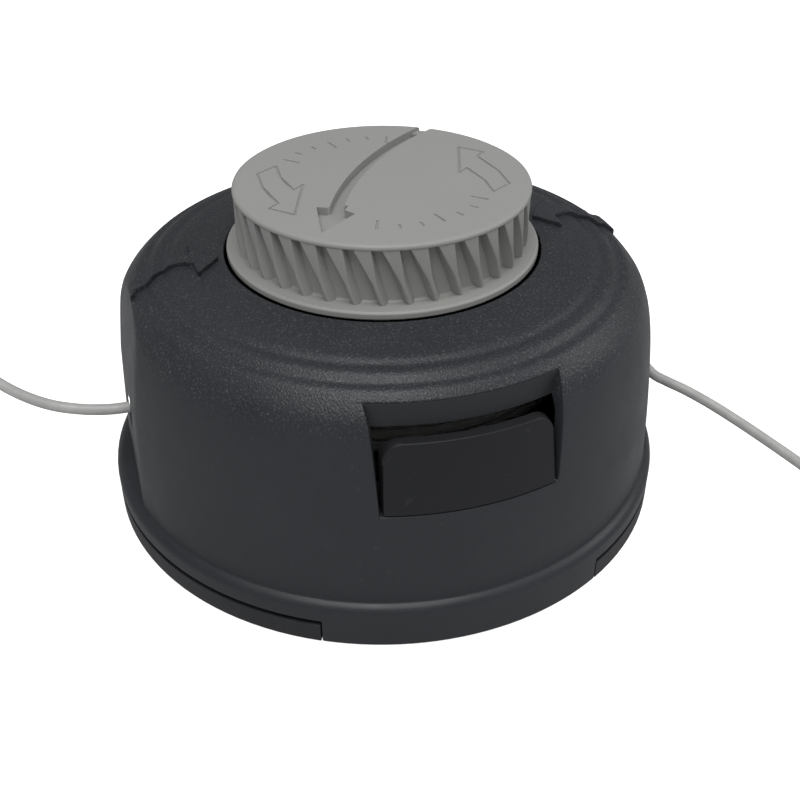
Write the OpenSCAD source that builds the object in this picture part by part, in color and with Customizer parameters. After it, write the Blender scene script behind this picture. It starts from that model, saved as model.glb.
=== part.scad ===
// Two-line bump-feed trimmer head with a press-to-load knob.
// It stands on its drive side, with the knob up. The latches are at -Y and +Y,
// and the cutting lines leave at -X and +X.

/* [Bell cover] */
// Diameter of the flange that the head stands on
flange_d = 124; // [118:1:132]
// Height of the cover's top edge at the knob
bell_top = 56; // [55:0.5:60]
// Wall thickness of the cover
wall = 2.5; // [2:0.1:3]
// Thickness of the cover's top plate
plate_t = 2.8; // [2.4:0.1:3.2]
// Height of the skirt's outer edge
skirt_h = 8.7; // [8.4:0.1:9.6]
// Height of the notches in the skirt
notch_h = 5.3; // [5:0.1:6]
// Half angle of each notch in the skirt
notch_half = 62; // [50:1:64]
// Height of the raised arrows above the cover
arrow_relief = 0.9; // [0.5:0.1:1.2]

/* [Latches] */
// Height of the window's sill
sill_z = 30; // [29:0.5:32]
// Height of the window's open part
window_h = 16.2; // [15.5:0.1:17]
// Width of the window at its sill
window_w = 35.2; // [32:0.2:38]
// Gap at each side of the latch tab
tab_side_gap = 0.8; // [0.5:0.1:1.5]
// Gap above the latch tab
tab_top_gap = 1.7; // [1.4:0.1:2.5]
// Corner radius of the latch tab
tab_corner = 4; // [2:0.5:6]
// Thickness of the latch's spring arm
arm_t = 2.6; // [2:0.1:3]
// Width of the latch's spring arm
arm_w = 24; // [18:1:28]

/* [Drive housing] */
// Outer radius of the hub tower
tower_r = 11; // [10.8:0.1:11.4]
// Height of the hub tower
tower_h = 50; // [49:0.5:51]
// Thickness of the housing's floor, ribs included
floor_t = 4; // [3.5:0.1:4.5]
// Depth of the ribbed pocket under the floor
pocket_d = 1.6; // [1:0.1:2]
// Height of the spigot ring inside the skirt
spigot_h = 8; // [7:0.1:8.2]
// Height of the housing's rim in the skirt's notches
rim_h = 4.3; // [3.5:0.1:4.6]

/* [Drive insert] */
// Radius of the threaded bore, at the crests of the thread
thread_r = 4.4; // [4:0.1:4.8]
// Width of the insert's hexagon across its flats
hex_af = 15; // [14:0.2:15.2]
// Height of the insert's sleeve below the hexagon
sleeve_h = 14; // [10:0.5:15]
// Height of the insert's hexagon
hex_h = 6; // [4:0.5:7]

/* [Spool] */
// Radius of the spool's flanges
spool_r = 45; // [42:0.5:46]
// Outer radius of the drum that the line is wound on
drum_r = 23.5; // [23:0.1:24.5]
// Height of each line chamber
chamber_h = 13.5; // [12:0.1:14]
// Thickness of the spool's lower flange
low_flange_t = 2; // [1.6:0.1:2.2]
// Thickness of the spool's middle flange and its upper flange
flange_t = 2.5; // [2:0.1:2.7]
// Travel of the knob when it is bumped
travel = 6; // [4:0.5:6]

/* [Knob] */
// Diameter of the knob's face
knob_d = 61.2; // [58:0.2:61.6]
// Diameter of the ring at the knob's foot
knob_ring_d = 65.5; // [65:0.1:67]
// Height of the knob's face above the seat
knob_top = 70.1; // [69:0.1:72]
// Thickness of the knob's face
face_t = 4.2; // [3.5:0.1:5]
// Number of leaning ribs round the knob
rib_n = 36; // [28:1:40]
// Lean of the ribs, in degrees
rib_lean = 17.5; // [5:0.5:22]
// Depth of the groove that the large arrow is cut with
groove_d = 1.8; // [1:0.1:2.4]

/* [Line] */
// Diameter of the cutting line
line_d = 2.4; // [2:0.1:2.7]
// Height of the eyelets' centres
eyelet_z = 25; // [24:0.5:27]

/* [Hidden] */
$fn = 96;

// Clearances: fixed joints, running fits, and between pieces that move past each other
fit = 0.1;
run = 0.25;
gap = 0.3;
cut = 1;

flange_r = flange_d / 2;
knob_r = knob_d / 2;
knob_ring_r = knob_ring_d / 2;
bell_bore_r = knob_ring_r + 0.65;

// Outline of the cover: how far each point lies inside the flange's edge and below the top edge.
// The dips at 16 and 12 are the two grooves that run round the shoulder.
bell_steps = [[21, 0.7], [18.5, 0.85], [16.5, 1.3], [16, 1.8], [15.4, 1.5], [13.6, 1.9], [12.5, 2.6],
    [12, 3.1], [11.4, 2.9], [10.2, 3.6], [9.2, 4.4], [7.6, 6], [6.5, 7.5], [5.6, 9.6], [4.8, 12],
    [3.9, 17], [3, 26], [2.3, 35]];
ledge_w = 1.8;
crease_z = skirt_h + 1.1;
skirt_t = 2.6;

// Outline of the flats where the lines leave: inset from the flange's edge, and height
flat_steps = [[3.9, crease_z], [5.2, 32], [6.9, bell_top - 12], [8.5, bell_top - 5.5]];
flat_wall = 3;
flat_y = 24;

lintel_inset = 8.8;
lintel_t = 2.5;
lintel_top = bell_top - 4.5;
window_top = sill_z + window_h;
window_slope = 1 / 21.5;

spigot_r = flange_r - skirt_t - fit;
spigot_t = 2.3;
pocket_in = tower_r + 6;
pocket_out = flange_r - 7;
under_ribs = 12;
under_rib_t = 1.8;

arm_in = flange_r - 11;
arm_out = arm_in + arm_t;
hinge_z = floor_t + gap;
tab_z = sill_z + gap;
tab_top = window_top - tab_top_gap;
tab_face_in = 3.2;
tab_face_top_in = 5.7;
tab_shell = 2.4;
tab_run = 10;
ledge_t = 2;
fence_h = 1.5;
fence_w = arm_w + 6;
fence_t = 1.8;

sleeve_r = 6.4;
clip_z = sleeve_h + hex_h + 0.5;
clip_t = 1;
clip_groove = 0.8;
hex_clear = fit / 2;
hex_corner_r = hex_af / 2 / cos(30);
tower_bore_r = hex_corner_r + 0.4;

washer_t = 1;
washer_r = tower_r + 4.5;
wire_r = 0.8;
spring_r = tower_r + 2.3;
cap_r = tower_r + 3.5;
cap_t = 2;
cap_sleeve = 11;
bush_flange_t = 1;
bush_t = 1.5;

tooth_h = 2;
spool_z = floor_t + tooth_h + travel + 0.5;
lower_z = spool_z + low_flange_t;
mid_z = lower_z + chamber_h;
upper_z = mid_z + flange_t;
web_z = upper_z + chamber_h;
web_top = web_z + flange_t;
drum_in = drum_r - 3;
bush_z = web_z - bush_flange_t;
cap_z = bush_z - run - cap_t;
neck_r = drum_r + 2.1;
neck_top = bell_top + 0.5;
stop_in = knob_ring_r + 3.7;
stop_out = stop_in + 2.5;
stop_top = bell_top - plate_t - gap - 0.5;
lug_n = 6;
lug_cut = 3;

ring_top = bell_top + 1.4;
ring_z = bell_top - 0.4;
rib_foot_z = ring_top;
core_r = knob_r - 2.1;
knob_bore_r = neck_r + 0.4;
knob_ceiling = knob_top - face_t;
rim_band = 1.2;
rib_top_z = knob_top - rim_band;
rib_w_top = 3.3;
rib_w_foot = 1.9;

screw_orbit = (drum_in + cap_r) / 2 + 0.1;
screw_n = 3;
post_r = 3.4;
head_r = 2.5;
head_h = 2.2;
shank_r = 1.45;
screw_len = 13;

// Large arrow on the knob's face: a slice of a wide circle, with a head at its end
arc_at = [60.9, -42.1];
arc_r = 79.7;
arc_w = 2.7;
big_head = [[-16, -9.3], [-14, -10.3], [-12.2, -9.5], [-9.9, -10.6], [-11.2, -12.3], [-9.7, -14.5],
    [-17.8, -20.6]];
// Small outlined arrow that shows which way to turn the knob
small_arrow = [[-23.9, 10], [-19.4, 12.9], [-19.7, 6.8], [-18.5, -0.2], [-16.1, 1.9], [-20.8, -11.5],
    [-25, -7.3], [-22.8, -5.5], [-24.2, 3]];
mark_w = 0.5;
mark_d = 0.35;
tick_r = 19.5;
tick_len = 4;

// Raised arrow on the cover, seen from above
bell_arrow = [[-34.6, 1.7], [-39.6, -3.4], [-39.8, 1.6], [-42.8, 2.9], [-45.9, 2.6], [-48.7, 0.1],
    [-51.1, -0.6], [-54.5, -1.8], [-60, -3], [-60, 1.8], [-54.5, 3], [-51, 4.2], [-48.7, 5], [-46, 7.2],
    [-43, 7.4], [-39.8, 6.4], [-40, 9.9]];

eyelet_x = flange_r - 4.9;
eyelet_r = 4.6;
eyelet_lip = 1;
barrel_r = 3.2;
barrel_in = 4.7;
eyelet_bore = line_d / 2 + 0.5;
boss_r = 6;

wound_r = 41;
turn_n = 5;

// Route of each free line, from just outside the spool to its cut end
route_left = [[-45.9, 0.6, 25], [-49, 0.3, 25], [-53, 0, 25], [-57.5, 0, 25], [-61.4, 0.2, 25.1],
    [-65.6, 1.1, 25.3], [-69.5, 2.3, 25.7], [-73.3, 4, 26.2], [-77.5, 6.8, 27], [-81.7, 10.6, 28],
    [-85.3, 15, 29], [-88.2, 20, 30]];
route_right = [[45.9, 0.6, 25], [49, 0.2, 25], [53, 0, 25], [57.2, -0.5, 24.6], [60.2, -3, 22.6],
    [61.8, -7, 19.6], [63.3, -11.6, 17.3], [65.5, -14.6, 16.5], [68.2, -18, 15.9], [70.7, -21.7, 15.2],
    [72.7, -25.1, 14.6], [76, -31.2, 13.4], [79, -37.2, 12.2], [82, -43.8, 11], [84.6, -50.2, 9.9]];

// Solid slice of a ring, between two radii and two heights
module ring(r_in, r_out, z0, z1) {
    translate([0, 0, z0])
        difference() {
            cylinder(r = r_out, h = z1 - z0);
            translate([0, 0, -cut])
                cylinder(r = r_in, h = z1 - z0 + 2 * cut);
        }
}

// Wedge that looks along -Y and opens by half the angle to each side
module wedge(half, z0, z1) {
    reach = 3 * flange_r;
    spread = reach * tan(half);
    translate([0, 0, z0])
        linear_extrude(z1 - z0)
            polygon([[0, 0], [-spread, -reach], [spread, -reach]]);
}

// The four wedges that leave the skirt's notches
module notch_wedges(half, z0, z1) {
    keep = 90 - half;
    difference() {
        translate([0, 0, z0])
            cylinder(r = 2 * flange_r, h = z1 - z0);
        for (turn = [0, 180])
            rotate([0, 0, turn])
                wedge(keep, z0 - cut, z1 + cut);
    }
}

function bell_points(lift) = concat(
    [[bell_bore_r, bell_top + lift]],
    [for (p = bell_steps) [flange_r - p[0] + lift / 2, bell_top - p[1] + lift]],
    [[flange_r - ledge_w + lift / 2, crease_z], [flange_r - 1.3, crease_z - 0.25],
        [flange_r - 0.5, skirt_h + 0.3], [flange_r, skirt_h - 0.4], [flange_r, 0]]);

module bell_outer(lift) {
    intersection() {
        rotate_extrude()
            polygon(concat([[0, 0]], [[0, bell_top + lift]], bell_points(lift)));
        union() {
            flat_block(0, crease_z, bell_top + 2 * cut);
            cylinder(r = flange_r + cut, h = crease_z);
        }
    }
}

// Block between the two flats, from one height to another
module flat_block(inset, z0, z1) {
    half = [for (p = flat_steps) [flange_r - p[0] - inset, p[1]]];
    low = half[0];
    high = half[len(half) - 1];
    right = concat([[low[0], z0]], half, [[high[0], z1]]);
    left = [for (i = [len(right) - 1:-1:0]) [-right[i][0], right[i][1]]];
    rotate([90, 0, 0])
        translate([0, 0, -2 * flange_r])
            linear_extrude(4 * flange_r)
                polygon(concat(right, left));
}

module bell_inner() {
    base_in = ledge_w + wall;
    rotate_extrude()
        polygon([[0, -cut], [flange_r - skirt_t, -cut], [flange_r - skirt_t, spigot_h],
            [flange_r - base_in, spigot_h], [flange_r - 2.3 - wall, bell_top - 35],
            [flange_r - 3.9 - wall, bell_top - 17], [flange_r - 4.8 - wall, bell_top - 12],
            [flange_r - 7.1 - wall, bell_top - plate_t - 6], [flange_r - 12.4, bell_top - plate_t - 3],
            [flange_r - 18, bell_top - plate_t - 0.8], [bell_bore_r - cut, bell_top - plate_t],
            [0, bell_top - plate_t]]);
}

// Outline of the latch window, seen along +Y
module window_shape(z0, z1, inset) {
    half = window_w / 2 - inset;
    polygon([[-half - (z0 - sill_z) * window_slope, z0], [half + (z0 - sill_z) * window_slope, z0],
        [half + (z1 - sill_z) * window_slope, z1], [-half - (z1 - sill_z) * window_slope, z1]]);
}

// A shape drawn in X and Z, pushed out along -Y
module toward_front() {
    rotate([90, 0, 0])
        linear_extrude(2 * flange_r)
            children();
}

module window_cut() {
    difference() {
        toward_front()
            window_shape(sill_z, lintel_top, 0);
        translate([0, 0, window_top])
            cylinder(r = flange_r - lintel_inset, h = bell_top);
        cylinder(r = spool_r, h = bell_top);
    }
}

module lintel() {
    intersection() {
        ring(flange_r - lintel_inset - lintel_t, flange_r - lintel_inset + 0.5, window_top, lintel_top);
        toward_front()
            window_shape(window_top - cut, lintel_top + cut, -1.5);
    }
}

module bell_arrows() {
    intersection() {
        bell_outer(arrow_relief);
        union() {
            bell_arrow_block();
            rotate([0, 0, -1.5])
                mirror([1, 0, 0])
                    bell_arrow_block();
        }
    }
}

module bell_arrow_block() {
    translate([0, 0, bell_top - 9])
        linear_extrude(12)
            polygon(bell_arrow);
}

module bell_cover() {
    color([0.24, 0.25, 0.27])
        difference() {
            union() {
                bell_outer(0);
                bell_arrows();
            }
            difference() {
                bell_inner();
                for (turn = [0, 180])
                    rotate([0, 0, turn]) {
                        lintel();
                        flat_backing();
                    }
            }
            for (turn = [0, 180])
                rotate([0, 0, turn]) {
                    window_cut();
                    eyelet_hole();
                }
            difference() {
                notch_wedges(notch_half, -cut, notch_h);
                translate([0, 0, -2 * cut])
                    cylinder(r = flange_r - 8, h = notch_h + 4 * cut);
            }
            translate([0, 0, -cut])
                cylinder(r = bell_bore_r, h = bell_top + 4 * cut);
        }
}

// Straight wall behind the flat on the +X side, with the eyelet's boss
module flat_backing() {
    difference() {
        translate([0, -flat_y, spigot_h])
            cube([flange_r, 2 * flat_y, bell_top - spigot_h - 5]);
        flat_block(flat_wall, 0, bell_top + cut);
    }
    translate([eyelet_x - barrel_in + 0.7, 0, eyelet_z])
        rotate([0, 90, 0])
            cylinder(r = boss_r, h = barrel_in);
}

module eyelet_hole() {
    translate([0, 0, eyelet_z])
        rotate([0, 90, 0])
            cylinder(r = barrel_r + fit / 2, h = flange_r);
    translate([eyelet_x - eyelet_lip, 0, eyelet_z])
        rotate([0, 90, 0])
            cylinder(r = eyelet_r + fit, h = 10);
}

// Flared bush that the line runs through, on the +X side
module eyelet() {
    color([0.78, 0.79, 0.8])
        translate([eyelet_x, 0, eyelet_z])
            rotate([0, 90, 0])
                rotate_extrude($fn = 48)
                    polygon([[eyelet_bore, -1.3], [eyelet_bore + 0.25, -0.6], [eyelet_bore + 0.8, -0.1],
                        [eyelet_bore + 1.3, 0], [eyelet_r, 0], [eyelet_r, -eyelet_lip],
                        [barrel_r, -eyelet_lip], [barrel_r, -barrel_in], [eyelet_bore + 0.8, -barrel_in],
                        [eyelet_bore + 0.2, -barrel_in + 0.4], [eyelet_bore, -barrel_in + 1.2]]);
}

module eyelet_right() {
    eyelet();
}

module eyelet_left() {
    rotate([0, 0, 180])
        eyelet();
}

module drive_housing() {
    color([0.21, 0.22, 0.24])
        difference() {
            union() {
                difference() {
                    cylinder(r = spigot_r, h = floor_t);
                    ring(pocket_in, pocket_out, -cut, pocket_d);
                }
                for (i = [0:under_ribs - 1])
                    rotate([0, 0, (i + 0.5) * 360 / under_ribs])
                        translate([pocket_in - cut, -under_rib_t / 2, 0])
                            cube([pocket_out - pocket_in + 2 * cut, under_rib_t, pocket_d + cut]);
                intersection() {
                    ring(spigot_r - cut, flange_r, 0, rim_h);
                    notch_wedges(notch_half - 0.2, -cut, rim_h + cut);
                }
                ring(spigot_r - spigot_t, spigot_r, floor_t - cut, spigot_h);
                cylinder(r = tower_r, h = tower_h);
                for (turn = [0, 180])
                    rotate([0, 0, turn])
                        latch_fence();
            }
            translate([0, 0, -cut])
                cylinder(r = sleeve_r + hex_clear, h = sleeve_h + 2 * cut);
            translate([0, 0, sleeve_h])
                cylinder(r = hex_corner_r + hex_clear, h = hex_h + cut, $fn = 6);
            translate([0, 0, sleeve_h + hex_h])
                cylinder(r = tower_bore_r, h = tower_h);
            translate([0, 0, clip_z])
                cylinder(r = tower_bore_r + clip_groove, h = clip_t + fit);
        }
}

// Two low walls that hold the root of a latch
module latch_fence() {
    for (y = [arm_in - gap - fence_t, arm_out + gap])
        translate([-fence_w / 2, -y - fence_t, floor_t - cut])
            cube([fence_w, fence_t, fence_h + cut]);
}

// Spring tongue at -Y, drawn standing on its root
module latch() {
    color([0.18, 0.19, 0.2]) {
        difference() {
            union() {
                translate([-arm_w / 2, -arm_out, hinge_z])
                    cube([arm_w, arm_t, tab_z - hinge_z + 3]);
                tab_body();
            }
            for (x = [-arm_w / 6 - 2, arm_w / 6 + 2])
                translate([x - 2.5, -arm_out - cut, floor_t + 7])
                    cube([5, arm_t + 2 * cut, 12]);
        }
    }
}

module tab_body() {
    face = [flange_r - tab_face_in, tab_z];
    face_top = [flange_r - tab_face_top_in, tab_top];
    intersection() {
        rotate_extrude()
            polygon([face, face_top, [face_top[0] - tab_shell, tab_top],
                [face[0] - tab_shell - 0.6, tab_z + ledge_t], [arm_in, tab_z + ledge_t],
                [arm_in, tab_z]]);
        toward_front()
            offset(r = tab_corner)
                offset(delta = -tab_corner)
                    tab_shape();
    }
    for (x = [-arm_w / 2, -0.8, arm_w / 2 - 1.6])
        translate([x, 0, 0])
            rotate([90, 0, 90])
                linear_extrude(1.6)
                    polygon([[-arm_in - 0.4, tab_z + 1], [-face_top[0] + tab_shell - 0.2, tab_top - 2],
                        [-face[0] + 1.4, tab_z + 1]]);
}

// The tab's outline runs on below its ledge, so only the upper corners are round
module tab_shape() {
    half = window_w / 2 - tab_side_gap;
    rise = tab_top - sill_z;
    lean = rise * window_slope * 0.4;
    polygon([[-half, tab_z - tab_run], [half, tab_z - tab_run], [half, tab_z], [half - lean, tab_top],
        [-half + lean, tab_top], [-half, tab_z]]);
}

module latch_tab_front() {
    latch();
}

module latch_tab_back() {
    rotate([0, 0, 180])
        latch();
}

// Steel insert with a left-hand thread, cut away here to the thread's crests
module drive_insert() {
    color([0.62, 0.62, 0.64])
        difference() {
            union() {
                translate([0, 0, 0.2])
                    cylinder(r = sleeve_r, h = sleeve_h);
                translate([0, 0, sleeve_h])
                    cylinder(r = hex_corner_r, h = hex_h, $fn = 6);
            }
            translate([0, 0, -cut])
                cylinder(r = thread_r, h = sleeve_h + hex_h + 2 * cut);
        }
}

module insert_clip() {
    color([0.5, 0.5, 0.52])
        difference() {
            ring(tower_bore_r - 1.7, tower_bore_r + clip_groove - fit, clip_z + fit / 2,
                clip_z + clip_t);
            translate([0, 0, clip_z - cut])
                linear_extrude(clip_t + 2 * cut)
                    polygon([[0, 0], [-3, -20], [3, -20]]);
        }
}

module spring_washer() {
    color([0.66, 0.66, 0.68])
        ring(tower_r + gap, washer_r, floor_t, floor_t + washer_t);
}

// Points round a wire at one place on its path
function wire_ring(at, side, up, r, sides) =
    [for (k = [0:sides - 1]) at + r * (cos(k * 360 / sides) * side + sin(k * 360 / sides) * up)];

// Closed tube through rings of points
module tube(rings) {
    sides = len(rings[0]);
    count = len(rings);
    points = [for (one = rings) for (p = one) p];
    walls = [for (i = [0:count - 2]) for (k = [0:sides - 1])
        let (a = i * sides + k, b = i * sides + (k + 1) % sides)
        for (face = [[a, b, b + sides], [a, b + sides, a + sides]]) face];
    start = [for (k = [1:sides - 2]) [0, k + 1, k]];
    last = (count - 1) * sides;
    end = [for (k = [1:sides - 2]) [last, last + k, last + k + 1]];
    polyhedron(points = points, faces = concat(walls, start, end));
}

// Height of the spring wire's centre after a share of its turns: both ends lie closed
function spring_z(share, low, high, turns) =
    let (closed = 1 / turns, pitch = 2 * wire_r + 0.05,
        inner = (share - closed) / (1 - 2 * closed))
    share < closed ? low + pitch * share / closed
    : share > 1 - closed ? high - pitch * (1 - share) / closed
    : low + pitch + (high - low - 2 * pitch) * inner;

module compression_spring() {
    low = floor_t + washer_t + wire_r + 0.05;
    high = cap_z - wire_r - 0.05;
    turns = 8;
    per_turn = 16;
    sides = 8;
    rings = [for (i = [0:turns * per_turn])
        let (a = i * 360 / per_turn, out = [cos(a), sin(a), 0],
            at = spring_r * out + [0, 0, spring_z(i / (turns * per_turn), low, high, turns)])
        wire_ring(at, out, [0, 0, 1], wire_r, sides)];
    color([0.7, 0.7, 0.72])
        tube([for (i = [len(rings) - 1:-1:0]) rings[i]]);
}

module thrust_cap() {
    color([0.85, 0.84, 0.8]) {
        ring(tower_r + run, cap_r, cap_z, cap_z + cap_t);
        ring(tower_r + run, spring_r - wire_r - 0.4, cap_z - cap_sleeve, cap_z + cut);
    }
}

module spool_bush() {
    color([0.72, 0.53, 0.26]) {
        ring(tower_r + run, cap_r, bush_z, web_z);
        ring(tower_r + run, tower_r + run + bush_t, bush_z, web_top);
    }
}

// Drum with its two lower flanges
module spool() {
    color([0.13, 0.13, 0.14])
        difference() {
            union() {
                ring(drum_in, drum_r, spool_z, web_z);
                ring(drum_in, spool_r, spool_z, lower_z);
                ring(drum_in, spool_r, mid_z, upper_z);
            }
            for (turn = [0, 180])
                rotate([0, 0, turn])
                    translate([0, 0, mid_z - line_d])
                        rotate([0, 90, 0])
                            cylinder(r = line_d / 2 + 0.4, h = drum_r + cut, $fn = 32);
            line_slots(spool_z - cut);
        }
}

// Slots in the flanges' edges that park the line's end
module line_slots(z) {
    for (i = [0:2])
        rotate([0, 0, 120 * i + 60])
            translate([spool_r - 5, -1.6, z])
                cube([10, 3.2, web_top]);
}

// Upper flange, welded to the drum, with the neck for the knob and the lugs that stop it
module spool_hub() {
    color([0.14, 0.14, 0.15])
        difference() {
            union() {
                ring(tower_r + run + bush_t, spool_r, web_z, web_top);
                ring(neck_r - 2.5, neck_r, web_z + cut, neck_top);
                ring(stop_in, stop_out, web_top - cut, stop_top);
                for (i = [0:5])
                    rotate([0, 0, 60 * i + 15])
                        translate([neck_r - 1, -0.8, web_top - cut])
                            cube([stop_in - neck_r + 2, 1.6, 3.5]);
            }
            for (i = [0:lug_n - 1])
                rotate([0, 0, i * 360 / lug_n])
                    translate([stop_in - cut, -4, stop_top - lug_cut])
                        cube([stop_out - stop_in + 2 * cut, 8, lug_cut + cut]);
            for (i = [0:screw_n - 1])
                screw_place(i)
                    translate([0, 0, web_z - cut])
                        cylinder(r = shank_r + fit, h = flange_t + 2 * cut, $fn = 32);
            line_slots(web_z - cut);
        }
}

module screw_place(i) {
    rotate([0, 0, 30 + i * 360 / screw_n])
        translate([screw_orbit, 0, 0])
            children();
}

// Ring of ratchet teeth on the floor, under the spool
module index_ring() {
    teeth = 12;
    color([0.82, 0.8, 0.74]) {
        ring(drum_in, drum_in + 6, floor_t, floor_t + tooth_h / 2);
        for (i = [0:teeth - 1])
            rotate([0, 0, i * 360 / teeth])
                translate([0, -drum_in - 0.2, floor_t + tooth_h / 2 - 0.2])
                    rotate([90, 0, 0])
                        linear_extrude(5.6)
                            polygon([[-3, 0], [3, 0], [3, tooth_h / 2 + 0.2]]);
    }
}

// Wound line, with one rounded ridge for each turn that shows
module wound_line(z0) {
    space = chamber_h - 0.2;
    pitch = space / turn_n;
    ridge = [for (i = [0:turn_n - 1]) for (a = [-90:30:60])
        [wound_r - pitch / 2 + cos(a) * pitch / 2, z0 + 0.1 + (i + 0.5) * pitch + sin(a) * pitch / 2]];
    color([0.7, 0.7, 0.68])
        rotate_extrude()
            polygon(concat([[drum_r + 0.05, z0 + 0.1]], ridge,
                [[wound_r - pitch / 2, z0 + 0.1 + space], [drum_r + 0.05, z0 + 0.1 + space]]));
}

module wound_line_lower() {
    wound_line(lower_z);
}

module wound_line_upper() {
    wound_line(upper_z);
}

module knob_core() {
    rotate_extrude()
        polygon([[0, knob_ceiling], [knob_bore_r, knob_ceiling], [knob_bore_r, ring_z],
            [knob_ring_r - 0.4, ring_z], [knob_ring_r, ring_z + 0.4], [knob_ring_r, ring_top - 0.4],
            [knob_ring_r - 0.4, ring_top], [core_r + 0.2, ring_top + 1.9], [core_r, ring_top + 2.4],
            [core_r, rib_top_z - 0.6], [core_r + 0.4, rib_top_z], [knob_r, rib_top_z],
            [knob_r, knob_top - 0.6], [knob_r - 0.2, knob_top - 0.2], [knob_r - 0.6, knob_top],
            [0, knob_top]]);
}

// Leaning blades: wide at the top, and narrow where they stand on the foot ring
module knob_ribs() {
    rise = rib_top_z - rib_foot_z;
    lean = rise * tan(rib_lean);
    low = rib_foot_z - 0.3;
    high = rib_top_z + 0.3;
    intersection() {
        translate([0, 0, low - cut])
            cylinder(r = knob_r - 0.1, h = high - low + 2 * cut);
        for (i = [0:rib_n - 1])
            rotate([0, 0, i * 360 / rib_n])
                translate([0, 0.6 - core_r, 0])
                    rotate([90, 0, 0])
                        linear_extrude(knob_r - core_r + 1.2)
                            polygon([[lean / 2 - rib_w_foot / 2, low], [lean / 2 + rib_w_foot / 2, low],
                                [rib_w_top / 2 - lean / 2, high], [-rib_w_top / 2 - lean / 2, high]]);
    }
}

module knob_marks() {
    translate([0, 0, knob_top - groove_d])
        linear_extrude(groove_d + cut) {
            intersection() {
                difference() {
                    translate(arc_at)
                        circle(r = arc_r + arc_w / 2, $fn = 180);
                    translate(arc_at)
                        circle(r = arc_r - arc_w / 2, $fn = 180);
                }
                polygon([[-16, -12], [-9, -12], [30, 20], [30, 40], [10, 40], [-22, 10]]);
            }
            polygon(big_head);
        }
    translate([0, 0, knob_top - mark_d])
        linear_extrude(mark_d + cut)
            for (turn = [0, 180])
                rotate(turn) {
                    difference() {
                        polygon(small_arrow);
                        offset(delta = -mark_w)
                            polygon(small_arrow);
                    }
                    for (i = [0:8])
                        rotate(i * 11 - 19)
                            translate([-mark_w / 2, -tick_r - tick_len])
                                square([mark_w, i % 4 == 0 ? tick_len : tick_len / 2]);
                }
}

module bump_knob() {
    color([0.6, 0.6, 0.59])
        difference() {
            union() {
                knob_core();
                knob_ribs();
                for (i = [0:screw_n - 1])
                    screw_place(i)
                        translate([0, 0, web_top + 0.05])
                            cylinder(r = post_r, h = knob_ceiling - web_top + cut, $fn = 48);
            }
            knob_marks();
            for (i = [0:screw_n - 1])
                screw_place(i)
                    translate([0, 0, web_top - cut])
                        cylinder(r = shank_r + 0.05, h = screw_len, $fn = 32);
        }
}

module knob_screws() {
    color([0.55, 0.55, 0.57])
        for (i = [0:screw_n - 1])
            screw_place(i)
                difference() {
                    union() {
                        translate([0, 0, web_z - head_h])
                            cylinder(r = head_r, h = head_h, $fn = 32);
                        translate([0, 0, web_z - 0.5])
                            cylinder(r = shank_r, h = screw_len, $fn = 32);
                    }
                    for (turn = [0, 90])
                        rotate([0, 0, turn])
                            translate([-1.6, -0.35, web_z - head_h - cut])
                                cube([3.2, 0.7, 1.1 + cut]);
                }
}

// Tube along a route, with its rings turned square to the way the route runs
module cord(route) {
    last = len(route) - 1;
    sides = 8;
    rings = [for (i = [0:last])
        let (ahead = route[min(i + 1, last)] - route[max(i - 1, 0)], way = ahead / norm(ahead),
            across = cross(way, [0, 0, 1]), side = across / norm(across), up = cross(side, way))
        wire_ring(route[i], side, up, line_d / 2, sides)];
    color([0.68, 0.68, 0.66])
        tube(rings);
}

module line_left() {
    cord(route_left);
}

module line_right() {
    cord(route_right);
}

drive_housing();
bell_cover();
latch_tab_front();
latch_tab_back();
eyelet_left();
eyelet_right();
drive_insert();
insert_clip();
spring_washer();
compression_spring();
thrust_cap();
spool_bush();
spool();
spool_hub();
index_ring();
wound_line_lower();
wound_line_upper();
bump_knob();
knob_screws();
line_left();
line_right();
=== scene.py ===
import math

import bmesh
import bpy
import numpy as np
from mathutils import Matrix, Vector


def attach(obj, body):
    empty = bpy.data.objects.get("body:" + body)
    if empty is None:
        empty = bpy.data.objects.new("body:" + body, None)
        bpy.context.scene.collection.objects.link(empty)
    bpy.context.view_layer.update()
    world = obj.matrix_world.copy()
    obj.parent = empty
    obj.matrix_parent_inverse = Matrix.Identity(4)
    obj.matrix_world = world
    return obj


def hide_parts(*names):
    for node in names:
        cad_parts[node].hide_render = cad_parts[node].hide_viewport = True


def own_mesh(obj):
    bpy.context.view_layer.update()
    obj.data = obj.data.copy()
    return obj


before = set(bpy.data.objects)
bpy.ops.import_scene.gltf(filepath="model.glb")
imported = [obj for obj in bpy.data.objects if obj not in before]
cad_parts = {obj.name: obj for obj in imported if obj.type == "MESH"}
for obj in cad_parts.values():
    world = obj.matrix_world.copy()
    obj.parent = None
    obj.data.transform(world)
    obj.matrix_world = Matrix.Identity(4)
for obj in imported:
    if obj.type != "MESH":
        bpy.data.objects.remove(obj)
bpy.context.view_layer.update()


# Drive housing
# The glass-filled nylon base that screws onto the gearbox shaft. It is moulded in one shot, with a
# hub tower, a spigot for the cover, and a ribbed pocket underneath. Mould edges are slightly round.

def shader_group(name, inputs, outputs):
    """Empty shader node group with the named sockets, and its two end nodes."""
    tree = bpy.data.node_groups.new(name, "ShaderNodeTree")
    for kind, label, value in inputs:
        socket = tree.interface.new_socket(label, in_out="INPUT", socket_type=kind)
        socket.default_value = value
    for kind, label in outputs:
        tree.interface.new_socket(label, in_out="OUTPUT", socket_type=kind)
    start = tree.nodes.new("NodeGroupInput")
    end = tree.nodes.new("NodeGroupOutput")
    return tree, start, end


def node(tree, kind, **settings):
    made = tree.nodes.new(kind)
    for key, value in settings.items():
        setattr(made, key, value)
    return made


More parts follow.
